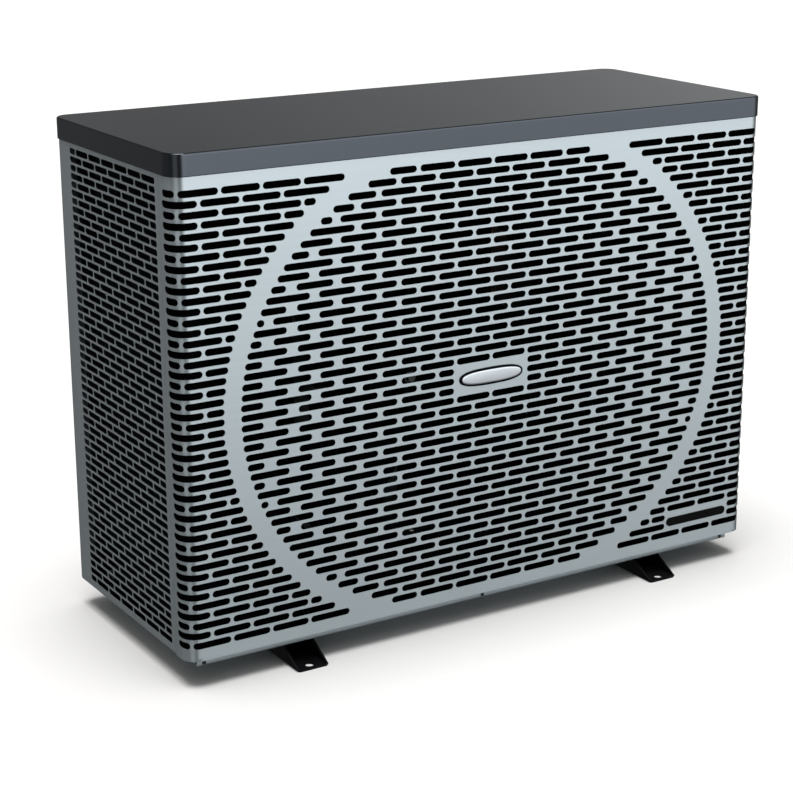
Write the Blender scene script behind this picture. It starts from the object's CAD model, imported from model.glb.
"""Looks for a pool heat pump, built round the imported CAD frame.

The frame is in metres, +Z up. The grille faces -Y, the water connections leave through the
right side (+X) and the coil wraps the left (-X) and back (+Y). Pieces are drawn in
millimetres, with x counted from the middle of the cabinet.
"""
import math
import random
from math import cos, pi, sin

import bmesh
import bpy
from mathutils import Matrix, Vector
from mathutils.geometry import delaunay_2d_cdt


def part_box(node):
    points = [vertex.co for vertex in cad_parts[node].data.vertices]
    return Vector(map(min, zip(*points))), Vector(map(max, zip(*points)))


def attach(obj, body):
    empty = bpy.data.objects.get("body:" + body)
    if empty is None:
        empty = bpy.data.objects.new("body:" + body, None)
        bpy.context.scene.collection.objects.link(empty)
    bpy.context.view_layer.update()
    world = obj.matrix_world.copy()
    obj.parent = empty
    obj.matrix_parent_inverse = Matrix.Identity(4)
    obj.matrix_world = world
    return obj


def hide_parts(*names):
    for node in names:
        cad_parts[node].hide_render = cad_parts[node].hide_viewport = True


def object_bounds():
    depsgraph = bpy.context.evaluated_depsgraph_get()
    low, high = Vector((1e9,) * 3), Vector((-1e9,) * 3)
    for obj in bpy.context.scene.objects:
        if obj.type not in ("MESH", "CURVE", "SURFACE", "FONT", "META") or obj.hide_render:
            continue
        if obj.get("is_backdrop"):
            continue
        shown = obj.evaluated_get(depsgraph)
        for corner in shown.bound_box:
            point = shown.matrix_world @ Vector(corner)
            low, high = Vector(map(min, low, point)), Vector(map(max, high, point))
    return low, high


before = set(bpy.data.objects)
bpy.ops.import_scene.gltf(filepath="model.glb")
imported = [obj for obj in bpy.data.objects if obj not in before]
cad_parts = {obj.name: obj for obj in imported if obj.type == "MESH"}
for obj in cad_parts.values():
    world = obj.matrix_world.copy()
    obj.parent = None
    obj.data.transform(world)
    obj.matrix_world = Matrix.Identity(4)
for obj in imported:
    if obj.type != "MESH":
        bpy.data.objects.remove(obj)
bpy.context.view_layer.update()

random.seed(7)
MM = 0.001


# ---------------------------------------------------------------- anchors taken from the frame
def node_box(name):
    """A CAD node's box in millimetres."""
    lo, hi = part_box(name)
    return [v * 1000 for v in lo], [v * 1000 for v in hi]


lo, hi = node_box("top_cover")
MIDDLE_X = (lo[0] + hi[0]) / 2
COVER_HALF_X, COVER_HALF_Y = (hi[0] - lo[0]) / 2, (hi[1] - lo[1]) / 2
COVER_BOTTOM, COVER_TOP = lo[2], hi[2]

lo, hi = node_box("front_panel")
HALF_WIDTH = (hi[0] - lo[0]) / 2
HALF_DEPTH = -lo[1]
FRONT = -HALF_DEPTH
PANEL_BOTTOM, PANEL_TOP = lo[2], hi[2]
SEAM_Y = hi[1]  # where the front panel meets the side panels

lo, hi = node_box("base_tray")
TRAY_HALF_X, TRAY_HALF_Y = (hi[0] - lo[0]) / 2, hi[1]
TRAY_BOTTOM, TRAY_TOP = lo[2], hi[2]

CORNER_R = 22.0  # the cabinet's upright corners
SHEET = 0.8  # thickness of the cabinet's sheet metal


def span(name):
    """A CAD node's x0, x1, y0, y1, z0, z1 in piece coordinates."""
    lo, hi = node_box(name)
    return lo[0] - MIDDLE_X, hi[0] - MIDDLE_X, lo[1], hi[1], lo[2], hi[2]


def centre(name):
    x0, x1, y0, y1, z0, z1 = span(name)
    return (x0 + x1) / 2, (y0 + y1) / 2, (z0 + z1) / 2


WATER_Y = centre("water_outlet_pipe")[1]
WATER_Z = {flow: centre("water_%s_pipe" % flow)[2] for flow in ("inlet", "outlet")}


def point(x, y, z):
    """Piece coordinates to the frame's metres."""
    return Vector(((x + MIDDLE_X) * MM, y * MM, z * MM))


# ---------------------------------------------------------------- materials
MATS = {}
NOISE_LOW, NOISE_HIGH = 0.3, 0.7  # the part of a noise's range that holds most of its values


def material(name, color, rough, metal=0.0, spec=0.5, peel=None, grain=None, vary=None,
             rough_vary=0.0, coat=0.0, coat_rough=0.1, brushed=None, speck=None):
    """A node material, kept in MATS.

    peel, grain: (noise scale per metre, bump distance in metres)
    vary: (noise scale, share of brightness); rough_vary: roughness up or down
    brushed: (axis of the strokes, bump distance); speck: (noise scale, share, flake colour)
    """
    mat = bpy.data.materials.new(name)
    mat.use_nodes = True
    nodes, links = mat.node_tree.nodes, mat.node_tree.links
    nodes.clear()
    out = nodes.new("ShaderNodeOutputMaterial")
    bsdf = nodes.new("ShaderNodeBsdfPrincipled")
    links.new(bsdf.outputs[0], out.inputs[0])
    coord = nodes.new("ShaderNodeTexCoord").outputs["Object"]

    def noise(scale, detail, vector=coord):
        node = nodes.new("ShaderNodeTexNoise")
        node.inputs["Scale"].default_value = scale
        node.inputs["Detail"].default_value = detail
        links.new(vector, node.inputs["Vector"])
        return node.outputs["Fac"]

    def remap(value, to_min, to_max, from_min=NOISE_LOW, from_max=NOISE_HIGH):
        node = nodes.new("ShaderNodeMapRange")
        node.inputs["From Min"].default_value = from_min
        node.inputs["From Max"].default_value = from_max
        node.inputs["To Min"].default_value = to_min
        node.inputs["To Max"].default_value = to_max
        links.new(value, node.inputs["Value"])
        return node.outputs[0]

    def bump(height, distance, normal):
        node = nodes.new("ShaderNodeBump")
        node.inputs["Strength"].default_value = 1.0
        node.inputs["Distance"].default_value = distance
        links.new(height, node.inputs["Height"])
        if normal:
            links.new(normal, node.inputs["Normal"])
        return node.outputs[0]

    base = nodes.new("ShaderNodeRGB")
    base.outputs[0].default_value = (*color, 1)
    shade = base.outputs[0]
    if vary:
        scale, share = vary
        factor = remap(noise(scale, detail=4), 1 - share, 1 + share)
        multiply = nodes.new("ShaderNodeVectorMath")
        multiply.operation = "SCALE"
        links.new(shade, multiply.inputs[0])
        links.new(factor, multiply.inputs["Scale"])
        shade = multiply.outputs[0]
    if speck:
        scale, share, flake = speck
        # only the noise's peaks show as flakes
        factor = remap(noise(scale, detail=1), 0.0, share, from_min=0.56, from_max=0.70)
        mix = nodes.new("ShaderNodeMix")
        mix.data_type = "RGBA"
        links.new(factor, mix.inputs["Factor"])
        links.new(shade, mix.inputs["A"])
        mix.inputs["B"].default_value = (*flake, 1)
        shade = next(s for s in mix.outputs if s.type == "RGBA")
    links.new(shade, bsdf.inputs["Base Color"])
    bsdf.inputs["Metallic"].default_value = metal
    bsdf.inputs["Roughness"].default_value = rough
    bsdf.inputs["Specular IOR Level"].default_value = spec
    if rough_vary:
        low, high = max(0.02, rough - rough_vary), min(1.0, rough + rough_vary)
        links.new(remap(noise(9.0, detail=5), low, high), bsdf.inputs["Roughness"])
    if coat:
        bsdf.inputs["Coat Weight"].default_value = coat
        bsdf.inputs["Coat Roughness"].default_value = coat_rough

    normal = None
    for relief in (peel, grain):
        if relief:
            scale, distance = relief
            normal = bump(noise(scale, detail=2.5), distance, normal)
    if brushed:
        axis, distance = brushed
        mapping = nodes.new("ShaderNodeMapping")
        stretch = [900.0, 900.0, 900.0]  # fine across the strokes
        stretch[axis] = 14.0  # and long along them
        mapping.inputs["Scale"].default_value = stretch
        links.new(coord, mapping.inputs["Vector"])
        normal = bump(noise(1.0, detail=3, vector=mapping.outputs[0]), distance, normal)
    if normal:
        links.new(normal, bsdf.inputs["Normal"])
    MATS[name] = mat


material("panel_paint", (0.399, 0.447, 0.465), rough=0.25, metal=0.55, peel=(420, 0.00003),
         vary=(3.0, 0.015), rough_vary=0.02, speck=(2600, 0.18, (0.62, 0.66, 0.70)))
material("cover_paint", (0.0490, 0.0540, 0.0610), rough=0.17, metal=1.0, spec=0.4,
         peel=(520, 0.00002), vary=(4.0, 0.012), rough_vary=0.004)
material("black_paint", (0.0035, 0.0035, 0.004), rough=0.5, spec=0.06, peel=(900, 0.00006),
         vary=(20.0, 0.2), rough_vary=0.05)
material("tray_steel", (0.30, 0.345, 0.365), rough=0.42, metal=0.3, peel=(420, 0.00006),
         vary=(8.0, 0.04), rough_vary=0.04)
material("black_screw", (0.012, 0.012, 0.013), rough=0.35, metal=0.6, grain=(2500, 0.00003),
         vary=(60.0, 0.2))
material("black_plastic", (0.010, 0.010, 0.011), rough=0.55, grain=(1500, 0.00004),
         vary=(12.0, 0.15), rough_vary=0.06)
material("inner_black", (0.0012, 0.0012, 0.0013), rough=0.85, spec=0.01, grain=(900, 0.00005),
         vary=(12.0, 0.2))
material("chrome_trim", (0.62, 0.64, 0.66), rough=0.16, metal=1.0, brushed=(0, 0.0000012),
         rough_vary=0.03)
material("chrome_field", (0.36, 0.375, 0.39), rough=0.32, metal=1.0, brushed=(0, 0.000004),
         rough_vary=0.05)
material("gloss_black", (0.003, 0.003, 0.0032), rough=0.3, spec=0.03, vary=(30.0, 0.1),
         peel=(300, 0.00001))
material("fin_aluminium", (0.55, 0.57, 0.58), rough=0.38, metal=1.0, brushed=(1, 0.000004),
         vary=(20.0, 0.05))
material("coated_fins", (0.012, 0.013, 0.015), rough=0.5, spec=0.12, grain=(700, 0.00003),
         vary=(14.0, 0.25))
material("guard_paint", (0.020, 0.021, 0.023), rough=0.38, spec=0.4, peel=(900, 0.00006),
         vary=(20.0, 0.15), rough_vary=0.05)
material("copper", (0.62, 0.29, 0.15), rough=0.3, metal=1.0, vary=(18.0, 0.16),
         rough_vary=0.10, grain=(600, 0.00002))
material("inner_steel", (0.42, 0.44, 0.45), rough=0.42, metal=0.9, vary=(34.0, 0.10),
         rough_vary=0.12, grain=(260, 0.00002))
material("motor_black", (0.010, 0.010, 0.011), rough=0.45, grain=(1200, 0.00008),
         vary=(14.0, 0.2))
material("bright_steel", (0.58, 0.58, 0.57), rough=0.26, metal=1.0, brushed=(0, 0.000002),
         vary=(40.0, 0.06))
material("rubber", (0.014, 0.014, 0.014), rough=0.85, grain=(1600, 0.00006),
         vary=(25.0, 0.2))
material("brass", (0.60, 0.42, 0.16), rough=0.3, metal=1.0, vary=(24.0, 0.12),
         rough_vary=0.08)
material("pvc", (0.30, 0.31, 0.32), rough=0.42, peel=(160, 0.00004), vary=(10.0, 0.05),
         rough_vary=0.05)
material("pvc_nut", (0.017, 0.017, 0.018), rough=0.45, grain=(1400, 0.00005),
         vary=(16.0, 0.12), rough_vary=0.05)
material("titanium", (0.36, 0.35, 0.33), rough=0.35, metal=1.0, vary=(22.0, 0.12),
         rough_vary=0.06)
material("circuit_board", (0.01, 0.075, 0.03), rough=0.4, coat=0.3, vary=(160.0, 0.35),
         grain=(500, 0.0001))
material("button_grey", (0.16, 0.165, 0.17), rough=0.5, grain=(1800, 0.00004),
         vary=(30.0, 0.06))
material("display_glass", (0.006, 0.008, 0.010), rough=0.06, coat=1.0, coat_rough=0.02,
         vary=(12.0, 0.1), peel=(120, 0.000004))
material("flap_plastic", (0.018, 0.019, 0.021), rough=0.22, coat=0.3, coat_rough=0.1,
         vary=(10.0, 0.08), peel=(220, 0.00001))
material("gasket", (0.008, 0.008, 0.008), rough=0.9, grain=(900, 0.0001), vary=(20.0, 0.2))


# ---------------------------------------------------------------- flat outlines
def round_rect(x0, x1, y0, y1, r, n=6):
    outline = []
    corners = ((x1 - r, y0 + r, -pi / 2), (x1 - r, y1 - r, 0),
               (x0 + r, y1 - r, pi / 2), (x0 + r, y0 + r, pi))
    for x, y, start in corners:
        for i in range(n + 1):
            t = start + pi / 2 * i / n
            outline.append((x + r * cos(t), y + r * sin(t)))
    return outline


def circle(x, y, r, n=32):
    return [(x + r * cos(2 * pi * i / n), y + r * sin(2 * pi * i / n)) for i in range(n)]


def capsule(x0, x1, z, r, n=6):
    """A round-ended slot from x0 to x1 at height z."""
    r = min(r, (x1 - x0) / 2)
    outline = []
    for x, start in ((x1 - r, -pi / 2), (x0 + r, pi / 2)):
        for i in range(n + 1):
            t = start + pi * i / n
            p = (x + r * cos(t), z + r * sin(t))
            # in a slot with no straight sides the two ends share points
            if not outline or abs(p[0] - outline[-1][0]) + abs(p[1] - outline[-1][1]) > 1e-4:
                outline.append(p)
    return outline


def spread(axis, flat, along):
    """The flat point (y,z for x; x,z for y; x,y for z) placed at a distance along the axis."""
    u, v = flat
    return {"x": (along, u, v), "y": (u, along, v), "z": (u, v, along)}[axis]


# ---------------------------------------------------------------- mesh helpers
def publish(name, mesh, slot, mat=None, body="cabinet", sharp=32, replaces=None, clean=True):
    """Turns a bmesh into an object, with edges over `sharp` degrees kept hard."""
    if clean:
        bmesh.ops.remove_doubles(mesh, verts=mesh.verts, dist=1e-7)
        bmesh.ops.recalc_face_normals(mesh, faces=mesh.faces)
    limit = math.radians(sharp)
    for face in mesh.faces:
        face.smooth = True
    for edge in mesh.edges:
        edge.smooth = len(edge.link_faces) == 2 and edge.calc_face_angle(0.0) < limit
    data = bpy.data.meshes.new(name)
    mesh.to_mesh(data)
    mesh.free()
    obj = bpy.data.objects.new(name, data)
    bpy.context.scene.collection.objects.link(obj)
    data.materials.append(MATS[mat or slot])
    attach(obj, body)
    if replaces:
        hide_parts(replaces)


def bevel_edges(mesh, radius, segments, limit):
    """Rounds the edges that turn by more than `limit` degrees."""
    edges = [e for e in mesh.edges
             if len(e.link_faces) == 2 and e.calc_face_angle(0.0) > math.radians(limit)]
    bmesh.ops.bevel(mesh, geom=edges, offset=radius * MM, segments=segments, profile=0.5,
                    affect="EDGES", clamp_overlap=True)


def triangulate(outline, holes, folds=()):
    """Corners and triangles of an outline less its holes; folds are extra edges to keep."""
    points = list(outline)
    faces = [list(range(len(outline)))]
    for hole in holes:
        first = len(points)
        points += hole
        faces.append(list(range(first, first + len(hole))))
    result = delaunay_2d_cdt([Vector(p) for p in points], list(folds), faces, 0, 1e-5, True)
    corners, triangles, origins = result[0], result[2], result[5]
    # face 0 is the outline, the others are holes
    kept = [t for t, o in zip(triangles, origins) if o and all(f == 0 for f in o)]
    return corners, kept


def add_two_sided(mesh, triangles, near, far):
    """Both faces of a flat sheet and the walls along its open edges."""
    uses = {}
    for triangle in triangles:
        mesh.faces.new([near[i] for i in triangle])
        mesh.faces.new([far[i] for i in reversed(triangle)])
        for i in range(3):
            a, b = triangle[i], triangle[(i + 1) % 3]
            uses.setdefault((min(a, b), max(a, b)), []).append((a, b))
    for used in uses.values():
        if len(used) == 1:
            a, b = used[0]
            mesh.faces.new([near[b], near[a], far[a], far[b]])


def add_skin(mesh, rows, closed=False):
    """Quads between neighbouring rings of vertices."""
    following = rows[1:] + rows[:1] if closed else rows[1:]
    for near, far in zip(rows, following):
        n = len(near)
        for i in range(n):
            mesh.faces.new([near[i], near[(i + 1) % n], far[(i + 1) % n], far[i]])


class Shape:
    """Collects closed shells into one mesh."""

    def __init__(self):
        self.mesh = bmesh.new()

    def take(self, part):
        data = bpy.data.meshes.new("tmp")
        part.to_mesh(data)
        part.free()
        self.mesh.from_mesh(data)
        bpy.data.meshes.remove(data)

    def take_turned_out(self, part):
        bmesh.ops.recalc_face_normals(part, faces=part.faces)
        self.take(part)

    def loft(self, rings, closed=False):
        """A skin over rings of (x, y, z) points; closed joins the last ring to the first."""
        part = bmesh.new()
        rows = [[part.verts.new(point(*p)) for p in ring] for ring in rings]
        add_skin(part, rows, closed)
        if not closed:
            part.faces.new(list(reversed(rows[0])))
            part.faces.new(rows[-1])
        self.take(part)

    def prism(self, outline, axis, start, end, bevel=0.0):
        """A flat outline pushed along an axis."""
        part = bmesh.new()
        near = [part.verts.new(point(*spread(axis, p, start))) for p in outline]
        far = [part.verts.new(point(*spread(axis, p, end))) for p in outline]
        part.faces.new(list(reversed(near)))
        part.faces.new(far)
        add_skin(part, [near, far])
        bmesh.ops.recalc_face_normals(part, faces=part.faces)
        if bevel:
            part.normal_update()
            bevel_edges(part, bevel, segments=1, limit=25)
        self.take(part)

    def plate(self, outline, holes, axis, start, end):
        """A flat sheet with holes, from start to end along an axis."""
        corners, triangles = triangulate(outline, holes)
        part = bmesh.new()
        near = [part.verts.new(point(*spread(axis, p, start))) for p in corners]
        far = [part.verts.new(point(*spread(axis, p, end))) for p in corners]
        add_two_sided(part, triangles, near, far)
        loose = [v for v in part.verts if not v.link_faces]
        bmesh.ops.delete(part, geom=loose, context="VERTS")
        self.take_turned_out(part)

    def lathe(self, profile, axis, at, n=48, closed=False):
        """profile: (radius, distance along the axis). A radius of 0 ends on the axis."""
        part = bmesh.new()

        def vertex(flat, along):
            return part.verts.new(point(*(c + d for c, d in zip(at, spread(axis, flat, along)))))

        rows = []
        for radius, along in profile:
            if radius < 1e-9:
                rows.append([vertex((0, 0), along)] * n)
            else:
                rows.append([vertex(p, along) for p in circle(0, 0, radius, n)])
        for near, far in zip(rows, rows[1:] + rows[:1] if closed else rows[1:]):
            for i in range(n):
                j = (i + 1) % n
                corners = list(dict.fromkeys((near[i], near[j], far[j], far[i])))
                if len(corners) > 2:
                    part.faces.new(corners)
        self.take(part)

    def tube(self, points, radius, n):
        part = bmesh.new()
        path = doubled_corners(points)
        rows = []
        for middle, (u, w) in zip(path, frames_along(path)):
            rows.append([
                part.verts.new(point(*(
                    middle + u * (radius * cos(2 * pi * i / n)) + w * (radius * sin(2 * pi * i / n))
                )))
                for i in range(n)
            ])
        add_skin(part, rows)
        part.faces.new(list(reversed(rows[0])))
        part.faces.new(rows[-1])
        self.take(part)

    def done(self, name, slot, **options):
        publish(name, self.mesh, slot, **options)


def doubled_corners(points, gap=0.01):
    """The path with each inner point split in two, a hair before and after the corner."""
    stops = [Vector(p) for p in points]
    path = [stops[0]]
    for before, at, after in zip(stops, stops[1:], stops[2:]):
        path.append(at - (at - before).normalized() * gap)
        path.append(at + (after - at).normalized() * gap)
    path.append(stops[-1])
    return path


def frames_along(path):
    """Two directions across the path at each of its points, carried along without twist."""
    last = len(path) - 1
    tangents = [(path[min(i + 1, last)] - path[max(i - 1, 0)]).normalized()
                for i in range(last + 1)]
    reference = Vector((0, 0, 1)) if abs(tangents[0].z) < 0.9 else Vector((1, 0, 0))
    across = tangents[0].cross(reference).normalized()
    frames = []
    for tangent in tangents:
        across = (across - tangent * across.dot(tangent)).normalized()
        frames.append((across, tangent.cross(across)))
    return frames


def bent_sheet(name, start, end, bands, bend_lines, surface, replaces):
    """A painted panel, drawn unfolded: s runs along the sheet and z up it.

    bands: (z0, z1, holes), each from start to end, with vertices on every bend line.
    surface(s): ((x, y), (normal x, normal y)) on the outer face.
    """
    stations = sorted({start, end} | {s for s in bend_lines if start < s < end})
    count = len(stations)
    folds = [(i, 2 * count - 1 - i) for i in range(1, count - 1)]
    index, flat, triangles = {}, [], []
    for z0, z1, holes in bands:
        rim = [(s, z0) for s in stations] + [(s, z1) for s in reversed(stations)]
        corners, faces = triangulate(rim, holes, folds)
        # neighbouring bands share the corners along their common edge
        ids = []
        for corner in corners:
            key = (round(corner.x, 3), round(corner.y, 3))
            if key not in index:
                index[key] = len(flat)
                flat.append((corner.x, corner.y))
            ids.append(index[key])
        for face in faces:
            triangle = [ids[i] for i in face]
            if len(set(triangle)) == 3:
                triangles.append(triangle)

    mesh = bmesh.new()
    outer, inner = [], []
    for s, z in flat:
        (x, y), (nx, ny) = surface(s)
        outer.append(mesh.verts.new(point(x, y, z)))
        inner.append(mesh.verts.new(point(x - nx * SHEET, y - ny * SHEET, z)))
    add_two_sided(mesh, triangles, outer, inner)
    mesh.faces.ensure_lookup_table()
    mesh.normal_update()
    first_s = flat[triangles[0][0]][0]
    outward = Vector((*surface(first_s)[1], 0))
    if mesh.faces[0].normal.dot(outward) < 0:
        bmesh.ops.reverse_faces(mesh, faces=mesh.faces)
    publish(name, mesh, "panel_paint", sharp=40, replaces=replaces, clean=False)


def refine(node, name, slot, mat=None, body="cabinet", bevel=0, segments=2):
    """The CAD node's own shape, its flat faces merged, its edges rounded, its curves smoothed."""
    mesh = bmesh.new()
    mesh.from_mesh(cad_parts[node].data)
    bmesh.ops.remove_doubles(mesh, verts=mesh.verts, dist=1e-6)
    bmesh.ops.dissolve_limit(mesh, angle_limit=math.radians(0.8), verts=mesh.verts,
                             edges=mesh.edges)
    bmesh.ops.recalc_face_normals(mesh, faces=mesh.faces)
    if bevel:
        bevel_edges(mesh, bevel, segments, limit=30)
    publish(name, mesh, slot, mat, body, sharp=35, replaces=node, clean=False)


# ---------------------------------------------------------------- front panel
# Unfolded, s counts from the middle: flat face, corner arc, then back to the seam.
FLAT_END = HALF_WIDTH - CORNER_R
ARC = CORNER_R * pi / 2
ARC_END = FLAT_END + ARC
FRONT_END = ARC_END + (SEAM_Y + HALF_DEPTH - CORNER_R)
ARC_STEPS = 8

# The slots leave a plain ring. For rows from the top or bottom edge to the middle row:
RING_INNER = [  # where the slots inside the ring end
    169.75, 204.4, 236.15, 259.6, 279.0, 295.85, 311.0, 324.75, 336.9, 346.75, 357.0, 365.0,
    373.1, 379.5, 385.1, 390.0, 395.0, 398.75, 401.25, 404.1, 405.25, 406.5, 406.5,
]
RING_OUTER = [  # where the slots outside the ring start
    242.0, 265.6, 286.85, 305.25, 320.6, 334.6, 347.75, 359.15, 370.0, 378.6, 387.25, 394.75,
    401.85, 407.4, 412.65, 417.1, 421.2, 424.5, 427.6, 428.9, 431.9, 431.75, 432.0,
]
# Starts of the slots inside the ring, and (start, end) outside it; odd rows are staggered.
INNER_EVEN = [2.4, 64.2, 127.3, 192.3, 261.6, 334.8]
INNER_ODD = [33.2, 95.8, 160.0, 227.1, 298.3, 373.3]
OUTER_EVEN = [(247.75, 304.35), (309.1, 365.7), (370.45, 427.05), (431.8, 488.4), (493.4, 517.0)]
OUTER_ODD = [(278.45, 335.05), (339.8, 396.4), (401.15, 457.75), (462.5, 519.0)]
# Outer slots of the two rows that leave a plain patch at the lower right.
PATCH_ROWS = {
    42: [(286.85, 304.35), (309.1, 335.3), (462.8, 488.4), (493.4, 517.0)],
    43: [(265.6, 335.05), (462.5, 519.0)],
}
PATCH_RING_X = 240  # slots ending short of this lie inside the ring in those rows
SLOT_LENGTH, SLOT_R, ROW_PITCH = 56.6, 4.95, 14.325
SLOT_MARGIN = 0.4  # added to each end of a slot
MIN_SLOT = 9.5
LAST_ROW = 44
ROW0_Z = COVER_TOP - 53.34


def front_surface(s):
    side = 1 if s > 0 else -1
    distance = abs(s)
    if distance <= FLAT_END:
        return (s, FRONT), (0, -1)
    if distance <= ARC_END:
        t = (distance - FLAT_END) / CORNER_R
        nx, ny = sin(t), -cos(t)
        x, y = FLAT_END + CORNER_R * nx, FRONT + CORNER_R + CORNER_R * ny
        return (side * x, y), (side * nx, ny)
    return (side * HALF_WIDTH, FRONT + CORNER_R + (distance - ARC_END)), (side, 0)


def half_row(row):
    """The (start, end) of the slots in the half of a row at x > 0."""
    step = min(row, LAST_ROW - row)
    even = row % 2 == 0
    end = RING_INNER[step]
    starts = [a for a in (INNER_EVEN if even else INNER_ODD) if end - a >= MIN_SLOT]
    slots = [(a, a + SLOT_LENGTH) for a in starts[:-1]]
    if step == 13:  # here the last slot splits in two
        slots += [(starts[-1], starts[-1] + SLOT_LENGTH), (368.7, end)]
    else:
        slots.append((starts[-1], end))
    start = RING_OUTER[step]
    outer = [p for p in (OUTER_EVEN if even else OUTER_ODD) if p[1] - start >= MIN_SLOT]
    return slots + [(start, outer[0][1])] + outer[1:]


def row_slots(row):
    right = left = half_row(row)
    middle = [] if row % 2 == 0 else [(-SLOT_LENGTH / 2, SLOT_LENGTH / 2)]
    # the three middle rows make room for the centre badge
    if row in (21, 23):
        middle = []
        right = left = [(64.5, b) if a == INNER_ODD[0] else (a, b) for a, b in right]
    if row == 22:
        right = left = [p for p in right if p[0] != INNER_EVEN[0]]
    if row in PATCH_ROWS:
        right = [p for p in right if p[1] < PATCH_RING_X] + PATCH_ROWS[row]
    return [(-b, -a) for a, b in left] + middle + right


def front_panel():
    arc_lines = [FLAT_END + ARC * i / ARC_STEPS for i in range(ARC_STEPS + 1)]
    bands = [(ROW0_Z + ROW_PITCH / 2, PANEL_TOP, [])]
    for row in range(LAST_ROW + 1):
        z = ROW0_Z - ROW_PITCH * row
        holes = [capsule(a - SLOT_MARGIN, b + SLOT_MARGIN, z, SLOT_R) for a, b in row_slots(row)]
        bands.append((z - ROW_PITCH / 2, z + ROW_PITCH / 2, holes))
    bands.append((PANEL_BOTTOM, ROW0_Z - ROW_PITCH * LAST_ROW - ROW_PITCH / 2, []))
    bent_sheet("front_grille_sheet", -FRONT_END, FRONT_END, bands,
               [-s for s in arc_lines] + arc_lines, front_surface, "front_panel")

    # folded lip along the lower edge: (distance behind the front, height)
    profile = [
        (SHEET, 5.0), (SHEET, 2.4), (SHEET + 0.4, 1.55), (SHEET + 1.2, 1.2), (16.2, 1.2),
        (16.2, 0.0), (1.4, 0.0), (0.5, 0.35), (0.05, 1.2), (0.05, 5.0),
    ]
    lip = Shape()
    lip.prism([(FRONT + y, PANEL_BOTTOM + z) for y, z in profile], "x",
              -FLAT_END - 6, FLAT_END + 6)
    lip.done("front_panel_lip", "panel_paint")


# ---------------------------------------------------------------- side panels
# Unfolded, s counts from the front plane: along the side, round the rear corner, along the back.
SIDE_START = SEAM_Y + 0.6 + HALF_DEPTH
SIDE_FLAT_END = 2 * HALF_DEPTH - CORNER_R
BACK_RETURN = 38.6 - CORNER_R
SIDE_END = SIDE_FLAT_END + ARC + BACK_RETURN
SIDE_BOTTOM = node_box("left_side_panel")[0][2]
LOUVRE_ROWS, LOUVRE_PITCH = 55, 11.99
LOUVRE_Z = COVER_TOP - 42.35  # the top row
LOUVRE_STEP, LOUVRE_HALF = 44.05, 20


def side_surface(side):
    def surface(s):
        if s <= SIDE_FLAT_END:
            return (side * HALF_WIDTH, FRONT + s), (side, 0)
        if s <= SIDE_FLAT_END + ARC:
            t = (s - SIDE_FLAT_END) / CORNER_R
            nx, ny = cos(t), sin(t)
            x = HALF_WIDTH - CORNER_R + CORNER_R * nx
            y = HALF_DEPTH - CORNER_R + CORNER_R * ny
            return (side * x, y), (side * nx, ny)
        x = HALF_WIDTH - CORNER_R - (s - SIDE_FLAT_END - ARC)
        return (side * x, HALF_DEPTH), (0, 1)

    return surface


def side_panel(name, side, bands, replaces):
    bend_lines = [SIDE_FLAT_END + ARC * i / ARC_STEPS for i in range(ARC_STEPS + 1)]
    bent_sheet(name, SIDE_START, SIDE_END, bands, bend_lines, side_surface(side), replaces)


def slot_run(first):
    """Six slots, the first with its middle at `first`."""
    return [(first + LOUVRE_STEP * j - LOUVRE_HALF, first + LOUVRE_STEP * j + LOUVRE_HALF)
            for j in range(6)]


def left_side_panel():
    half = LOUVRE_PITCH / 2
    bands = [(LOUVRE_Z + half, PANEL_TOP, [])]
    for row in range(LOUVRE_ROWS):
        z = LOUVRE_Z - LOUVRE_PITCH * row
        if row % 2 == 0:
            slots = slot_run(71.3) + [(315.4, 333.3)]
        else:
            slots = [(51.5, 69.4)] + slot_run(93.4)
        holes = [round_rect(a - 0.8, b + 0.8, z - 4.45, z + 4.45, 3.3, 4) for a, b in slots]
        bands.append((z - half, z + half, holes))
    bands.append((SIDE_BOTTOM, LOUVRE_Z - LOUVRE_PITCH * (LOUVRE_ROWS - 1) - half, []))
    side_panel("left_side_sheet", -1, bands, "left_side_panel")


def right_side_panel():
    """Two holes for the water pipes and a small one behind the controller."""
    holes = [circle(WATER_Y + HALF_DEPTH, WATER_Z[flow], 29, 40) for flow in ("inlet", "outlet")]
    holes.append(circle(centre("controller_housing")[1] + HALF_DEPTH, 600, 9, 20))
    side_panel("right_side_sheet", 1, [(SIDE_BOTTOM, PANEL_TOP, holes)], "right_side_panel")


# ---------------------------------------------------------------- top cover
def cover_ring(inset, z):
    outline = round_rect(-COVER_HALF_X + inset, COVER_HALF_X - inset, -COVER_HALF_Y + inset,
                         COVER_HALF_Y - inset, max(24.0 - inset, 1.0), 14)
    ring = []
    for (x, y), (next_x, next_y) in zip(outline, outline[1:] + outline[:1]):
        ring.append((x, y, z))
        length = math.hypot(next_x - x, next_y - y)
        if length > 40:  # a point just past each bend keeps the flat sides flat
            for k in (0.8 / length, 1 - 0.8 / length):
                ring.append((x + (next_x - x) * k, y + (next_y - y) * k, z))
    return ring


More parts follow.
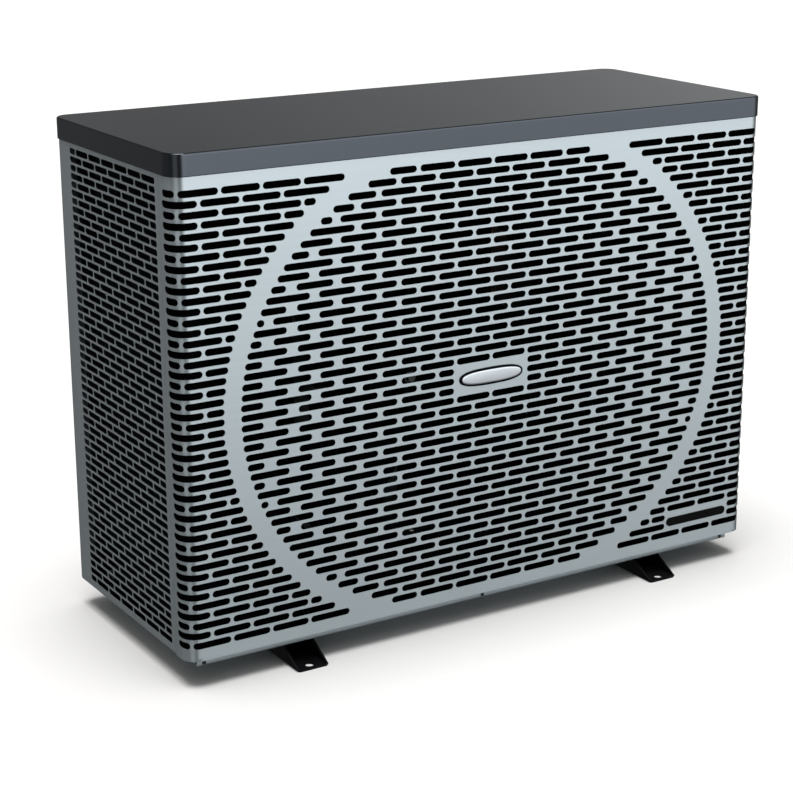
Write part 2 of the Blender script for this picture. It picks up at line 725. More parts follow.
def top_cover():
    wall, fillet = 1.5, 2.6
    # (inset, height), from the underside, down inside the wall and up outside it
    sections = [
        (wall + fillet + 1.0, COVER_TOP - wall), (wall + fillet, COVER_TOP - wall),
        (1.6, COVER_TOP - 3.4), (wall, COVER_TOP - 4.4),
        (wall, COVER_BOTTOM + 0.7), (1.1, COVER_BOTTOM + 0.1), (0.7, COVER_BOTTOM),
        (0.2, COVER_BOTTOM + 0.2), (0.0, COVER_BOTTOM + 0.8), (0.0, COVER_BOTTOM + 1.4),
        (0.0, COVER_TOP - fillet - 0.6),
    ]
    for i in range(7):
        t = pi / 2 * i / 6
        sections.append((fillet - fillet * cos(t), COVER_TOP - fillet + fillet * sin(t)))
    sections.append((fillet + 0.8, COVER_TOP))
    cover = Shape()
    cover.loft([cover_ring(inset, z) for inset, z in sections])
    cover.done("top_cover_shell", "cover_paint", sharp=40, replaces="top_cover")


# ---------------------------------------------------------------- base tray
TRAY_WALL = 1.5
TRAY_BEND = 3.0  # outer radius between floor and walls
TRAY_NOTCH = 7.0  # cut from each corner of the floor
DRAIN_X, DRAIN_Y, _ = centre("drain_spout")


def base_tray():
    def bend(radius, i):
        t = pi / 2 * i / 6
        return TRAY_BEND - radius * sin(t), TRAY_BOTTOM + TRAY_BEND - radius * cos(t)

    # section of a wall: (distance inwards, height)
    wall = [bend(TRAY_BEND, i) for i in range(7)]
    wall += [(0.0, TRAY_TOP - 0.5), (0.25, TRAY_TOP),
             (TRAY_WALL - 0.25, TRAY_TOP), (TRAY_WALL, TRAY_TOP - 0.5)]
    wall += [bend(TRAY_BEND - TRAY_WALL, i) for i in range(6, -1, -1)]
    tray = Shape()
    for side in (-1, 1):
        tray.prism([(side * (TRAY_HALF_Y - d), z) for d, z in wall], "x",
                   -TRAY_HALF_X, TRAY_HALF_X)
    for side in (-1, 1):
        tray.prism([(side * (TRAY_HALF_X - d), z) for d, z in wall], "y",
                   -TRAY_HALF_Y + TRAY_NOTCH, TRAY_HALF_Y - TRAY_NOTCH)

    holes = [circle(DRAIN_X, DRAIN_Y, 9, 24)]
    for x, y in ((-420, -120), (-420, 120), (-60, -120), (60, 120), (420, -120), (420, 120)):
        holes.append(circle(x, y, 4, 14))
    for x in (-250, -180, 0, 120):
        holes.append([(x + dx, -60 + dy) for dx, dy in capsule(-14, 14, 0, 3, 5)])
    edge_x, edge_y = TRAY_HALF_X - TRAY_BEND, TRAY_HALF_Y - TRAY_BEND
    cut_x, cut_y = TRAY_HALF_X - (TRAY_NOTCH + 0.2), TRAY_HALF_Y - (TRAY_NOTCH + 0.2)
    floor_outline = [
        (-edge_x, -cut_y), (-cut_x, -cut_y), (-cut_x, -edge_y),
        (cut_x, -edge_y), (cut_x, -cut_y), (edge_x, -cut_y),
        (edge_x, cut_y), (cut_x, cut_y), (cut_x, edge_y),
        (-cut_x, edge_y), (-cut_x, cut_y), (-edge_x, cut_y),
    ]
    tray.plate(floor_outline, holes, "z", TRAY_BOTTOM, TRAY_BOTTOM + TRAY_WALL)
    tray.done("base_tray_pan", "tray_steel", replaces="base_tray")


def tray_foam_seal():
    """Foam round the tray's left and rear walls, which closes the gap under the side panel."""
    left, front, rear = -TRAY_HALF_X, -TRAY_HALF_Y, TRAY_HALF_Y
    outer, inner = 1.3, 0.15  # how far the foam's two faces stand off the tray
    strips = [  # plan outline, bottom, top
        ([(left - outer, front + 12), (left - outer, rear - 30.1),
          (left - inner, rear - 30.1), (left - inner, front + 12)],
         TRAY_BOTTOM + 3, TRAY_BOTTOM + 36),
        ([(left - 7, rear - 30), (left - 7, rear + 2.5), (left + 16, rear + 2.5),
          (left + 16, rear + inner), (left - inner, rear + inner), (left - inner, rear - 30)],
         TRAY_BOTTOM + 4, TRAY_BOTTOM + 40),
        ([(left + 16.1, rear + inner), (left + 16.1, rear + outer),
          (left + 64, rear + outer), (left + 64, rear + inner)],
         TRAY_TOP - 3, TRAY_BOTTOM + 36),
        ([(left - 19.3, front + 27), (left - 19.3, rear - 30.1),
          (left - outer - 0.05, rear - 30.1), (left - outer - 0.05, front + 27)],
         TRAY_TOP + 1.5, TRAY_TOP + 2.5),
    ]
    seal = Shape()
    for outline, z0, z1 in strips:
        seal.prism(outline, "z", z0, z1)
    seal.done("tray_foam_seal", "rubber", mat="inner_black")


def tray_screws():
    """Pan-head screws in the tray's front flange, each with a raised cross on its head."""
    flange = -TRAY_HALF_Y
    profile = [  # (radius, distance behind the flange)
        (0, -1.5), (0.8, -2.2), (1.8, -2.1), (2.5, -1.6), (2.85, -1.0), (2.95, -0.4),
        (2.95, 0.02), (1.5, 0.02), (1.5, 7.5), (0.7, 9), (0, 9),
    ]
    bar = [(-1.5, -0.3), (1.5, -0.3), (1.5, 0.3), (-1.5, 0.3)]
    for place in ("left", "middle", "right"):
        x, _, z = centre("tray_screw_" + place)
        screw = Shape()
        screw.lathe([(r, flange + d) for r, d in profile], "y", (x, 0, z), 24)
        for turn in (0, pi / 2):
            c, s = cos(turn), sin(turn)
            screw.prism([(x + p * c - q * s, z + p * s + q * c) for p, q in bar], "y",
                        flange - 2.32, flange - 1.9, bevel=0.08)
        screw.done("tray_screw_head_" + place, "black_screw", replaces="tray_screw_" + place)


def drain_spout():
    """A barbed hose end with a flange under the tray."""
    bottom, top = span("drain_spout")[4:]
    bore, neck, barb = 6, 7.9, 8.6
    profile = [
        (bore, bottom), (7.6, bottom), (8.0, bottom + 0.6), (barb, bottom + 3.2),
        (neck, bottom + 3.6), (neck, bottom + 5.0), (barb, bottom + 8.0), (neck, bottom + 8.4),
        (neck, TRAY_BOTTOM - 3.0), (13.6, TRAY_BOTTOM - 3.0), (14, TRAY_BOTTOM - 2.6),
        (14, TRAY_BOTTOM - 0.2), (8.6, TRAY_BOTTOM - 0.1), (8.6, top - 0.5), (8.2, top),
        (6.3, top), (bore, top - 0.4),
    ]
    spout = Shape()
    spout.lathe(profile, "z", (DRAIN_X, DRAIN_Y, 0), 32, closed=True)
    spout.done("drain_spout_barbed", "black_plastic", replaces="drain_spout")


# ---------------------------------------------------------------- feet
FOOT_SHEET = 2.5
# Levels of a foot's web: (height, inset of its outer face).
WEB_LEVELS = [
    (0.0, 2.6), (0.6, 1.1), (1.5, 0.35), (2.6, 0.0), (4.0, 0.0), (8.0, 0.0), (14.0, 0.0),
    (20.0, 0.0), (TRAY_BOTTOM - 0.4, 0.0), (TRAY_BOTTOM, 0.25),
]


def foot_web(side, outer_x, half_length):
    """An upright wall of the foot, shorter towards the top; side points inwards."""
    web = bmesh.new()
    rows = []  # per level: outer and inner vertex at the front end, then at the rear end
    for z, inset in WEB_LEVELS:
        reach = half_length - 2.2 - (0 if z < 3 else (z - 3) * (42.0 / (TRAY_BOTTOM - 3)))
        inner_x = outer_x + side * (FOOT_SHEET + (0.6 if z < 2.5 else 0))
        row = []
        for y in (-reach, reach):
            row.append(web.verts.new(point(outer_x + side * inset, y, z)))
            row.append(web.verts.new(point(inner_x, y, z)))
        rows.append(row)
    for (a_out, a_in, a_out2, a_in2), (b_out, b_in, b_out2, b_in2) in zip(rows, rows[1:]):
        web.faces.new([a_out, a_out2, b_out2, b_out])
        web.faces.new([a_in, b_in, b_in2, a_in2])
        web.faces.new([a_out, b_out, b_in, a_in])
        web.faces.new([a_out2, a_in2, b_in2, b_out2])
    front_out, front_in, rear_out, rear_in = rows[0]
    web.faces.new([front_out, front_in, rear_in, rear_out])
    front_out, front_in, rear_out, rear_in = rows[-1]
    web.faces.new([front_out, rear_out, rear_in, front_in])
    return web


def foot(node):
    x0, x1, _, y1, _, _ = span(node)
    middle = (x0 + x1) / 2
    channel = Shape()
    # sole with rounded tips and a bolt hole near each end
    holes = [circle(middle, y, 6.5, 28) for y in (-y1 + 13, y1 - 13)]
    channel.plate(round_rect(x0 + 2.0, x1 - 2.0, -y1, y1, 3.0, 5), holes, "z", 0.0, FOOT_SHEET)
    for side, outer_x in ((1, x0), (-1, x1)):
        channel.take_turned_out(foot_web(side, outer_x, y1))
    channel.done(node + "_channel", "black_paint", replaces=node)


# ---------------------------------------------------------------- badges, both blank
def badge(name, slot, mat, levels, outline, replaces=None):
    """levels: (inset of the outline, height out from the front panel)."""
    plate = Shape()
    plate.loft([[(x, FRONT - height, z) for x, z in outline(inset)] for inset, height in levels])
    plate.done(name, slot, mat=mat, replaces=replaces)


def centre_badge():
    """An oval rim with a raised metal field."""
    x0, x1, _, _, z0, z1 = span("centre_badge")

    def oval(inset, n=72):
        outline = []
        for i in range(n):
            c, s = cos(2 * pi * i / n), sin(2 * pi * i / n)
            x = ((x1 - x0) / 2 - inset) * math.copysign(abs(c) ** 0.7, c)
            z = ((z1 - z0) / 2 - inset) * math.copysign(abs(s) ** 0.8, s)
            outline.append(((x0 + x1) / 2 + x, (z0 + z1) / 2 + z))
        return outline

    rim = [(0.4, 0.0), (0.1, 0.3), (0.0, 0.9), (0.15, 1.5), (0.6, 1.9), (1.3, 2.05),
           (2.4, 2.05), (3.0, 1.8), (3.2, 1.1)]
    field = [(3.2, 0.9), (3.1, 1.9), (3.3, 2.4), (3.8, 2.7), (4.6, 2.9), (6.0, 3.0)]
    badge("centre_badge_rim", "chrome_trim", "gloss_black", rim, oval, "centre_badge")
    badge("centre_badge_field", "chrome_trim", "chrome_field", field, oval)


def lower_badge():
    """A round-ended plate."""
    x0, x1, _, _, z0, z1 = span("lower_badge")

    def pill(inset):
        r = (z1 - z0) / 2 - inset
        return round_rect(x0 + inset, x1 - inset, z0 + inset, z1 - inset, r - 0.001, 10)

    levels = [(0.3, 0), (0.0, 0.3), (0.0, 1.0), (0.2, 1.35), (0.6, 1.5), (1.0, 1.45), (1.3, 1.2)]
    badge("lower_badge_plate", "gloss_black", "gloss_black", levels, pill, "lower_badge")


# ---------------------------------------------------------------- back
GUARD_POST, GUARD_RIM = 50, 14  # width of the guard's frame at its left, and on its other sides


def rear_fixings(columns, z0, z1):
    return [(x, z) for x in columns for z in (z0 + 24, (z0 + z1) / 2, z1 - 44)]


def rear_screws(name, fixings, y):
    profile = [  # (radius, distance out from the panel)
        (0, 1.2), (0.9, 2.1), (2.2, 2.0), (3.4, 1.4), (3.9, 0.6), (3.9, 0.05), (2.1, 0.05),
        (2.1, -4), (0, -5),
    ]
    screws = Shape()
    for x, z in fixings:
        screws.lathe([(r, y + d) for r, d in profile], "y", (x, 0, z), 20)
    screws.done(name, "black_screw")


def louvre_hood(x0, x1, z0, z1, face_y):
    """A pressed hood over an opening, open below and fading into the sheet at both ends."""
    top = z1 + 3.4
    outer = []
    for i in range(9):
        t = i / 8 * pi / 2
        outer.append((face_y + 4.2 * sin(t), top - (top - z0 - 0.6) * (1 - cos(t))))
    section = outer + [(y - 1.0, z - 0.5) for y, z in reversed(outer)]
    root_y = face_y - 0.9
    length = x1 - x0 + 8
    steps = 14
    hood = bmesh.new()
    rows = []
    for j in range(steps + 1):
        v = j / steps
        from_end = min(v, 1 - v) * length
        rise = sin(min(1.0, from_end / 9.0) * pi / 2)
        rows.append([hood.verts.new(point(x0 - 4 + length * v, root_y + (y - root_y) * rise, z))
                     for y, z in section])
    add_skin(hood, rows)
    hood.faces.new(rows[0])
    hood.faces.new(list(reversed(rows[-1])))
    return hood


def rear_service_panel():
    x0, x1, _, face_y, z0, z1 = span("rear_service_panel")
    louvres = [(282, 416, 600 + 18 * i, 607 + 18 * i) for i in range(6)]
    fixings = rear_fixings((x0 + 8, x1 - 8), z0, z1)
    holes = [round_rect(*louvre, 3.0, 4) for louvre in louvres]
    holes += [circle(x, z, 2.4, 14) for x, z in fixings]
    panel = Shape()
    panel.plate([(x0, z0), (x1, z0), (x1, z1), (x0, z1)], holes, "y", face_y - SHEET, face_y)
    for louvre in louvres:
        panel.take_turned_out(louvre_hood(*louvre, face_y))
    # stepped strip along the right edge
    strip = [(x1 - 4.5, face_y - 2.2), (x1 + 8, face_y - 2.2), (x1 + 8, face_y - 1.1),
             (x1 - 4.5, face_y - SHEET)]
    panel.prism(strip, "z", z0 + 4, z1 - 2)
    panel.done("rear_service_sheet", "panel_paint", replaces="rear_service_panel")
    rear_screws("rear_panel_screws", fixings, face_y)


def rear_coil_guard():
    """A wire mesh in a flat frame."""
    x0, x1, _, face_y, z0, z1 = span("rear_coil_guard")
    opening = round_rect(x0 + GUARD_POST, x1 - GUARD_RIM, z0 + GUARD_RIM, z1 - GUARD_RIM, 5, 5)
    guard = Shape()
    guard.plate([(x0, z0), (x1, z0), (x1, z1), (x0, z1)], [opening], "y", face_y - 1.2, face_y)
    # a joggled hem laps behind the side panel's return
    hem = [(x0 - 9, face_y - 2.5), (x0 + 9, face_y - 2.5), (x0 + 9, face_y - 1.2),
           (x0 - 9, face_y - 1.35)]
    guard.prism(hem, "z", z0 + 4, z1 - 2)
    lap, inset = 6, 6  # wires run this far behind the frame, and the outer ones stand in by this
    wire_x0, wire_x1 = x0 + GUARD_POST - lap, x1 - GUARD_RIM + lap
    wire_z0, wire_z1 = z0 + GUARD_RIM - lap, z1 - GUARD_RIM + lap
    wire_y = face_y - 2.6
    level, upright = 34, 6  # gaps between the level and between the upright wires
    for i in range(level + 1):
        z = wire_z0 + inset + (wire_z1 - wire_z0 - 2 * inset) * i / level
        guard.tube([(wire_x0, wire_y, z), (wire_x1, wire_y, z)], 1.1, n=8)
    for i in range(upright + 1):
        x = wire_x0 + inset + (wire_x1 - wire_x0 - 2 * inset) * i / upright
        guard.tube([(x, wire_y - 2.6, wire_z0), (x, wire_y - 2.6, wire_z1)], 1.6, n=8)
    guard.done("rear_wire_guard", "black_paint", mat="guard_paint", replaces="rear_coil_guard")
    rear_screws("rear_guard_screws", rear_fixings((x0 + 8, x1 - 7), z0, z1), face_y)


# ---------------------------------------------------------------- finned coil
COIL_X0, COIL_X1, COIL_Y0, COIL_Y1, COIL_Z0, COIL_Z1 = span("coil_fins")
COIL_DEPTH, COIL_R = 40.0, 80.0
COIL_SIDE = COIL_Y1 - COIL_R - COIL_Y0  # straight run along the left side
COIL_BEND = COIL_R * pi / 2
COIL_LENGTH = COIL_SIDE + COIL_BEND + (COIL_X1 - COIL_X0 - COIL_R)


def coil_at(s, depth):
    """The coil's plan point at length s along its outer face, at a depth inwards from it."""
    if s <= COIL_SIDE:
        return COIL_X0 + depth, COIL_Y0 + s
    if s <= COIL_SIDE + COIL_BEND:
        t = (s - COIL_SIDE) / COIL_R
        r = COIL_R - depth
        return COIL_X0 + COIL_R - r * cos(t), COIL_Y1 - COIL_R + r * sin(t)
    return COIL_X0 + COIL_R + (s - COIL_SIDE - COIL_BEND), COIL_Y1 - depth


def coil_fins():
    """Fins corrugated across their depth, so the stack can't be seen through straight on."""
    pitch, thickness, wave = 2.4, 0.13, 2.7
    fold = [(0.3, 0.0), (5.0, 0.0), (12.5, wave), (20.0, 0.0), (27.5, wave), (35.0, 0.0),
            (COIL_DEPTH - 0.3, 0.0)]  # (depth, shift along the coil)
    mesh = bmesh.new()
    for i in range(int((COIL_LENGTH - wave) / pitch)):
        start = 0.8 + i * pitch
        rows = [
            [mesh.verts.new(point(*coil_at(start + offset + shift, depth), z))
             for depth, shift in fold]
            for z in (COIL_Z0 + 0.3, COIL_Z1 - 0.3) for offset in (0.0, thickness)
        ]
        low, low2, top, top2 = rows
        for k in range(len(fold) - 1):
            mesh.faces.new([low[k], low[k + 1], top[k + 1], top[k]])
            mesh.faces.new([low2[k + 1], low2[k], top2[k], top2[k + 1]])
            mesh.faces.new([low[k + 1], low[k], low2[k], low2[k + 1]])
            mesh.faces.new([top[k], top[k + 1], top2[k + 1], top2[k]])
        mesh.faces.new([low[0], top[0], top2[0], low2[0]])
        mesh.faces.new([low[-1], low2[-1], top2[-1], top[-1]])
    publish("coil_fin_stack", mesh, "coated_fins", replaces="coil_fins")


def coil_corner_strip():
    """Angle strip behind the guard's post; it closes the gap round the outside of the bend."""
    guard_x0, _, _, guard_y, _, guard_top = span("rear_coil_guard")
    x = guard_x0 + GUARD_POST - 7.5
    outline = [(x, COIL_Y1 - 2.8), (x + 1, COIL_Y1 - 2.8), (x + 1, guard_y - 1.3),
               (x - 12, guard_y - 1.3), (x - 12, guard_y - 2.3), (x, guard_y - 2.3)]
    strip = Shape()
    strip.prism(outline, "z", TRAY_BOTTOM + 36.6, guard_top - 2)
    strip.done("coil_corner_strip", "black_paint", mat="inner_black")


def coil_tubes():
    """Two staggered rows of tubes through the fins."""
    pitch = 25.4
    stations = [0.0, COIL_SIDE] + [COIL_SIDE + COIL_BEND * k / 10 for k in range(1, 11)]
    stations.append(COIL_LENGTH)
    tubes = Shape()
    for stagger, depth in ((0, 10.0), (pitch / 2, 30.0)):
        for k in range(int((COIL_Z1 - COIL_Z0) / pitch)):
            z = COIL_Z0 + pitch / 2 + pitch * k + stagger
            if z <= COIL_Z1 - 8:
                tubes.tube([(*coil_at(s, depth), z) for s in stations], 3.8, n=6)
    tubes.done("coil_tubes", "copper")


# ---------------------------------------------------------------- water connections
PIPE_R, PIPE_BORE = 25.0, 21.0
COLLAR_R, COLLAR_X0, COLLAR_X1 = 30, 541.0, 544.0
WINDOW_X0, WINDOW_X1, WINDOW_HALF = 438.0, 462.0, 8.0


def water_pipe(flow):
    node = "water_%s_pipe" % flow
    start, end = span(node)[:2]
    z = WATER_Z[flow]
    at = (0, WATER_Y, z)
    body = [
        (PIPE_R, COLLAR_X0), (COLLAR_R - 0.5, COLLAR_X0), (COLLAR_R, COLLAR_X0 + 0.5),
        (COLLAR_R, COLLAR_X1 - 0.5), (COLLAR_R - 0.5, COLLAR_X1), (PIPE_R, COLLAR_X1),
        (PIPE_R, end - 1.2), (PIPE_R - 0.4, end - 0.3), (PIPE_R - 1.2, end),
        (PIPE_BORE + 0.6, end), (PIPE_BORE, end - 0.6),
    ]
    pipe = Shape()
    if flow == "inlet":
        # a window in the top of the tube lets the flow paddle through
        pipe.lathe([(PIPE_BORE, start), (PIPE_R, start), (PIPE_R, WINDOW_X0),
                    (PIPE_BORE, WINDOW_X0)], "x", at, 64, closed=True)
        pipe.lathe([(PIPE_BORE, WINDOW_X1), (PIPE_R, WINDOW_X1)] + body, "x", at, 64, closed=True)
        half = math.asin(WINDOW_HALF / PIPE_R)
        section = ((PIPE_R, WINDOW_X0), (PIPE_R, WINDOW_X1),
                   (PIPE_BORE, WINDOW_X1), (PIPE_BORE, WINDOW_X0))
        rings = []
        for k in range(57):
            t = pi / 2 + half + (2 * pi - 2 * half) * k / 56
            rings.append([(x, WATER_Y + r * cos(t), z + r * sin(t)) for r, x in section])
        pipe.loft(rings)
    else:
        pipe.lathe([(PIPE_BORE, start), (PIPE_R, start)] + body, "x", at, 64, closed=True)
    pipe.done("water_%s_tube" % flow, "pvc", replaces=node)


def water_grommet(flow):
    profile = [  # (radius, distance out from the side panel)
        (25.4, -3.2), (32.0, -3.2), (32.4, -2.6), (32.0, -1.5), (28.6, -1.5), (28.6, 0.3),
        (33.6, 0.3), (34.2, 1.2), (33.2, 2.6), (30.0, 4.4), (26.4, 5.6), (25.4, 5.4),
    ]
    grommet = Shape()
    grommet.lathe([(r, HALF_WIDTH + d) for r, d in profile], "x",
                  (0, WATER_Y, WATER_Z[flow]), 56, closed=True)
    grommet.done("water_%s_grommet" % flow, "rubber")


def union_nut(flow):
    """Twelve grip lobes with rounded crests, and chamfered rims."""
    node = "%s_union_nut" % flow
    x0, x1 = span(node)[:2]
    groove, lobe = 34.8, 3.2
    sections = [  # (x, radius between the lobes, share of the lobes' full height)
        (x0, 26.2, 0), (x0, 33.0, 0), (x0 + 0.5, groove - 0.8, 0), (x0 + 1.2, groove - 0.2, 0.1),
        (x0 + 3.0, groove, 0.85), (x0 + 4.2, groove, 1), (x1 - 7.5, groove, 1),
        (x1 - 6.0, groove, 0.8), (x1 - 4.4, groove, 0.2), (x1 - 3.6, groove, 0),
        (x1 - 1.0, groove - 0.1, 0), (x1 - 0.3, groove - 0.6, 0), (x1, 33.2, 0), (x1, 27.0, 0),
        (x1 - 0.8, 26.2, 0),
    ]
    n = 144
    rings = []
    for x, radius, share in sections:
        ring = []
        for i in range(n):
            a = 2 * pi * i / n
            w = 0.5 + 0.5 * cos(12 * a)
            w = w * w * (3 - 2 * w)
            r = radius + lobe * w * share
            ring.append((x, WATER_Y + r * cos(a), WATER_Z[flow] + r * sin(a)))
        rings.append(ring)
    nut = Shape()
    nut.loft(rings, closed=True)
    nut.done("%s_union_grip" % flow, "black_plastic", mat="pvc_nut", body=flow + "_nut",
             replaces=node)


# ---------------------------------------------------------------- controller
def controller_button(key):
    """A round cap with a dished top."""
    x0, x1, y0, y1, _, _ = span("button_" + key)
    r = (y1 - y0) / 2
    profile = [
        (0, x0), (r, x0), (r, x1 - 1.1), (r - 0.12, x1 - 0.6), (r - 0.45, x1 - 0.2),
        (r - 1.0, x1), (r - 1.8, x1 - 0.02), (r - 2.6, x1 - 0.25), (2.0, x1 - 0.42),
        (0, x1 - 0.45),
    ]
    _, y, z = centre("button_" + key)
    cap = Shape()
    cap.lathe(profile, "x", (0, y, z), 36)
    cap.done("button_%s_cap" % key, "button_grey", body=key + "_key", replaces="button_" + key)


def display_window():
    x0, x1, y0, y1, z0, z1 = span("display_window")
    rings = []
    for inset, x in ((0, x0), (0, x1 - 0.5), (0.15, x1 - 0.15), (0.5, x1)):
        outline = round_rect(y0 + inset, y1 - inset, z0 + inset, z1 - inset, 3.0 - inset * 0.5)
        rings.append([(x, y, z) for y, z in outline])
    glass = Shape()
    glass.loft(rings)
    glass.done("display_glass_pane", "display_glass", replaces="display_window")


# ---------------------------------------------------------------- inside
def corner_liner(name, side):
    """Follows the grille's bend from the inner plate, so the slots there look into darkness."""
    _, _, _, _, z0, z1 = span("fan_shroud")
    r = CORNER_R - SHEET - 0.3
    middle_x, middle_y = HALF_WIDTH - CORNER_R, -(HALF_DEPTH - CORNER_R)
    line = [(452.0, -176.4), (459.0, middle_y - r + 0.6), (460.5, middle_y - r)]
    for i in range(13):
        t = pi / 2 * i / 12
        line.append((middle_x + r * sin(t), middle_y - r * cos(t)))
    line.append((middle_x + r, -150.0))
    inner = []  # the line moved inwards by the liner's thickness of 1 mm
    for i, (x, y) in enumerate(line):
        before, after = line[max(i - 1, 0)], line[min(i + 1, len(line) - 1)]
        dx, dy = after[0] - before[0], after[1] - before[1]
        length = math.hypot(dx, dy)
        inner.append((x - dy / length, y + dx / length))
    liner = Shape()
    liner.prism([(side * x, y) for x, y in line + inner[::-1]], "z", z0 + 9, z1 - 1)
    liner.done(name, "black_plastic", mat="inner_black")


# Materials of the CAD nodes that stay in view; the rest are black plastic.
INSIDE = {
    "copper": "coil_front_plate coil_gas_header discharge_pipe suction_pipe"
              " condenser_gas_pipe liquid_pipe filter_drier",
    "inner_steel": "partition_plate electrical_box electrical_box_lid",
    "motor_black": "fan_motor_bracket fan_motor fan_motor_shaft compressor_shell"
                   " suction_accumulator",
    "rubber": "compressor_grommet_1 compressor_grommet_2 compressor_grommet_3",
    "brass": "four_way_valve expansion_valve",
    "pvc": "heat_exchanger_shell terminal_block",
    "titanium": "titanium_coil",
    "fin_aluminium": "heat_sink",
    "circuit_board": "inverter_board",
}


def dress_inside():
    slots = {node: slot for slot, names in INSIDE.items() for node in names.split()}
    for node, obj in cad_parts.items():
        if obj.hide_render:
            continue
        slot = slots.get(node, "black_plastic")
        obj.data.materials.clear()
        obj.data.materials.append(MATS[slot])
        weld = obj.modifiers.new("weld", "WELD")
        weld.merge_threshold = 1e-5


# ---------------------------------------------------------------- camera, floor, light
def camera():
    """Looks at the front and left side from slightly above, with a long lens."""
    data = bpy.data.cameras.new("camera")
    obj = bpy.data.objects.new("camera", data)
    bpy.context.scene.collection.objects.link(obj)
    obj.location = (-1.58296, -2.48240, 1.17709)
    obj.rotation_euler = (math.radians(73.33), 0, math.radians(-32.164))
    data.sensor_width = 36
    data.sensor_fit = "AUTO"
    data.lens = 89.06
    data.shift_x = -0.0305
    data.shift_y = -0.0058
    data.clip_start = 0.05
    data.clip_end = 100
    bpy.context.scene.camera = obj


def floor():
    """A pale matt floor, hidden from bounced and mirrored rays."""
    half = 40.0
    data = bpy.data.meshes.new("floor")
    corners = [(-half, -half, 0), (half, -half, 0), (half, half, 0), (-half, half, 0)]
    data.from_pydata(corners, [], [(0, 1, 2, 3)])
    obj = bpy.data.objects.new("floor", data)
    bpy.context.scene.collection.objects.link(obj)
    obj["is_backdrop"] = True
    mat = bpy.data.materials.new("floor")
    mat.use_nodes = True
    bsdf = mat.node_tree.nodes["Principled BSDF"]
    bsdf.inputs["Base Color"].default_value = (0.805, 0.797, 0.784, 1)
    bsdf.inputs["Roughness"].default_value = 0.95
    bsdf.inputs["Specular IOR Level"].default_value = 0.0
    obj.visible_diffuse = False
    obj.visible_glossy = False
    data.materials.append(mat)


# Brightness of the studio. _AZ: (compass angle in degrees, brightness), where 0 is the grille
# side and positive turns towards the left side. _EL: (height from -1 to 1, brightness).
# KEY and FILL are what shiny surfaces mirror.
KEY_AZ = [
    (-180, 0.0), (-155, 0.01), (-146, 0.05), (-138, 0.10), (-126, 0.06), (-100, 0.03),
    (-82, 0.05), (-70, 0.35), (-58, 0.90), (-42, 1.04), (-32, 1.06), (-24, 1.18), (-14, 1.24),
    (-3, 1.25), (4, 0.86), (11, 0.14), (20, 0.06), (30, 0.0), (180, 0.0),
]
KEY_EL = [
    (-1.0, 0.05), (-0.6, 0.12), (-0.42, 0.24), (-0.36, 0.34), (-0.26, 0.59), (-0.15, 1.0),
    (0.0, 1.2), (0.3, 1.2), (0.6, 1.0), (0.9, 0.6), (1.0, 0.5),
]
FILL_AZ = [
    (-180, 0.15), (-158, 0.16), (-146, 0.12), (-110, 0.13), (-80, 0.13), (-50, 0.05),
    (-20, 0.05), (0, 0.03), (20, 0.08), (30, 0.22), (39, 0.84), (56, 0.84), (66, 0.24),
    (80, 0.22), (98, 0.30), (128, 0.29), (150, 0.22), (165, 0.18), (180, 0.15),
]
FILL_EL = [(-1.0, 0.3), (-0.4, 0.62), (-0.15, 1.0), (0.2, 1.0), (1.0, 0.7)]
# What matt surfaces gather: soft light from high up, and the pale floor's light from below.
DOME_AZ = [(-180, 0.75), (-90, 1.0), (-30, 1.12), (60, 1.05), (120, 0.95), (180, 0.8)]
DOME_EL = [
    (-1, 0), (-0.55, 0), (-0.35, 0.64), (-0.2, 1.0), (-0.02, 1.0), (0.03, 0.02), (0.3, 0.03),
    (0.6, 0.22), (0.8, 0.55), (1, 0.85),
]
KEY_STRENGTH, FILL_STRENGTH = 2.3, 1.0
BACKDROP_STRENGTH = 1.02  # the white that the camera sees


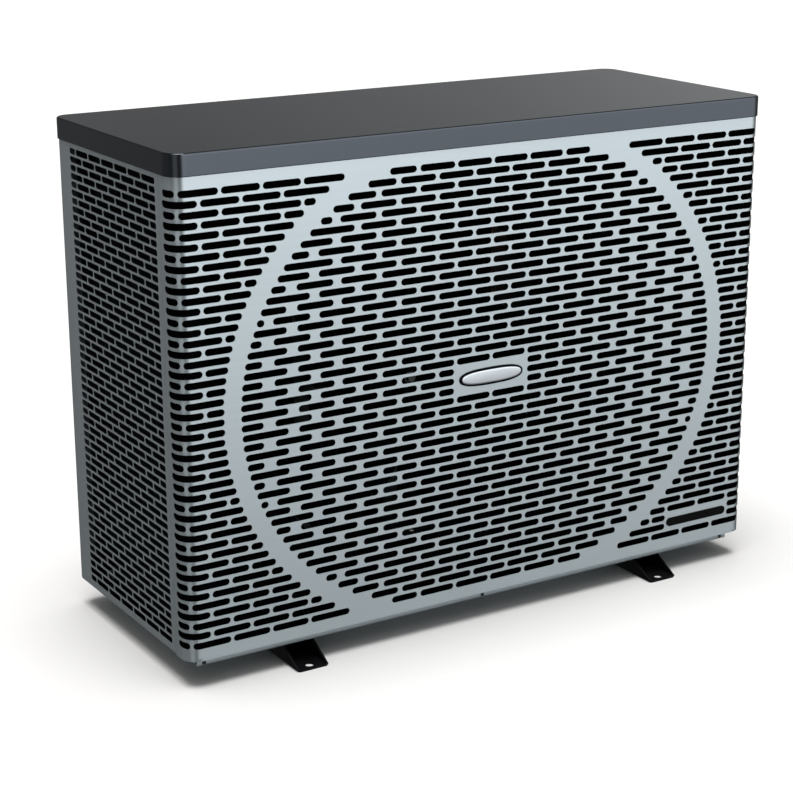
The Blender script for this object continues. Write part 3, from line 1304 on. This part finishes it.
def studio_world():
    world = bpy.data.worlds.new("studio")
    bpy.context.scene.world = world
    world.use_nodes = True
    nodes, links = world.node_tree.nodes, world.node_tree.links
    nodes.clear()
    out = nodes.new("ShaderNodeOutputWorld")
    light_path = nodes.new("ShaderNodeLightPath")

    def feed(target, value):
        if isinstance(value, (int, float)):
            target.default_value = value
        else:
            links.new(value, target)

    def calculate(operation, a, b):
        node = nodes.new("ShaderNodeMath")
        node.operation = operation
        feed(node.inputs[0], a)
        feed(node.inputs[1], b)
        return node.outputs[0]

    def ramp(value, stops):
        node = nodes.new("ShaderNodeValToRGB")
        node.color_ramp.interpolation = "LINEAR"
        elements = node.color_ramp.elements
        while len(elements) > 1:
            elements.remove(elements[-1])
        elements[0].position = stops[0][0]
        elements[0].color = (stops[0][1],) * 3 + (1,)
        for position, grey in stops[1:]:
            elements.new(position).color = (grey, grey, grey, 1)
        links.new(value, node.inputs[0])
        return node.outputs[0]

    def background(color, strength):
        node = nodes.new("ShaderNodeBackground")
        node.inputs["Color"].default_value = (*color, 1)
        feed(node.inputs["Strength"], strength)
        return node.outputs[0]

    def mixed(factor, a, b):
        node = nodes.new("ShaderNodeMixShader")
        for target, value in zip(node.inputs, (factor, a, b)):
            links.new(value, target)
        return node.outputs[0]

    # compass angle and height of the ray, both brought to 0..1
    coord = nodes.new("ShaderNodeTexCoord")
    axes = nodes.new("ShaderNodeSeparateXYZ")
    links.new(coord.outputs["Generated"], axes.inputs[0])
    angle = calculate("ARCTAN2", calculate("MULTIPLY", axes.outputs[0], -1.0),
                      calculate("MULTIPLY", axes.outputs[1], -1.0))
    azimuth = calculate("ADD", calculate("MULTIPLY", angle, 1 / (2 * pi)), 0.5)
    height = calculate("ADD", calculate("MULTIPLY", axes.outputs[2], 0.5), 0.5)

    def glow(around, upward):
        return calculate("MULTIPLY", ramp(azimuth, [((a + 180) / 360, v) for a, v in around]),
                         ramp(height, [((a + 1) / 2, v) for a, v in upward]))

    key = calculate("MULTIPLY", glow(KEY_AZ, KEY_EL), KEY_STRENGTH)
    fill = calculate("MULTIPLY", glow(FILL_AZ, FILL_EL), FILL_STRENGTH)
    mirrored = background((0.97, 1.0, 1.02), calculate("ADD", key, fill))
    dome = background((1.0, 1.0, 1.0), glow(DOME_AZ, DOME_EL))
    white = background((1, 1, 1), BACKDROP_STRENGTH)
    unseen = mixed(light_path.outputs["Is Glossy Ray"], dome, mirrored)
    links.new(mixed(light_path.outputs["Is Camera Ray"], unseen, white), out.inputs[0])
    world.cycles.sampling_method = "NONE"


def overhead_sun():
    data = bpy.data.lights.new("overhead", "SUN")
    data.energy = 3.15
    data.angle = math.radians(38)  # wide, for soft shadows
    data.color = (1, 1, 1)
    obj = bpy.data.objects.new("overhead", data)
    bpy.context.scene.collection.objects.link(obj)
    toward = Vector((-0.05, -0.04, 1.0))  # the direction the light comes from
    obj.rotation_euler = toward.to_track_quat("Z", "Y").to_euler()


# ---------------------------------------------------------------- build
front_panel()
left_side_panel()
right_side_panel()
top_cover()
base_tray()
tray_foam_seal()
tray_screws()
drain_spout()
foot("left_foot")
foot("right_foot")
centre_badge()
lower_badge()
rear_service_panel()
rear_coil_guard()
coil_fins()
coil_corner_strip()
coil_tubes()
for flow in ("inlet", "outlet"):
    water_pipe(flow)
    water_grommet(flow)
    union_nut(flow)

refine("controller_housing", "controller_case", "black_plastic", bevel=0.6, segments=3)
refine("controller_flap", "controller_flap_cover", "flap_plastic", body="flap", bevel=0.35)
for key in ("power", "down", "up", "mode"):
    controller_button(key)
display_window()

refine("fan_shroud", "fan_orifice_plate", "black_plastic", mat="inner_black")
corner_liner("corner_liner_left", -1)
corner_liner("corner_liner_right", 1)
refine("fan_nut", "fan_spinner_nut", "black_screw", body="fan", bevel=0.8)
refine("fan_blade", "fan_rotor", "black_plastic", mat="inner_black", body="fan")

camera()
floor()
studio_world()
overhead_sun()
bpy.context.scene.view_settings.view_transform = "Standard"
bpy.context.scene.view_settings.look = "None"
dress_inside()

lo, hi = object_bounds()
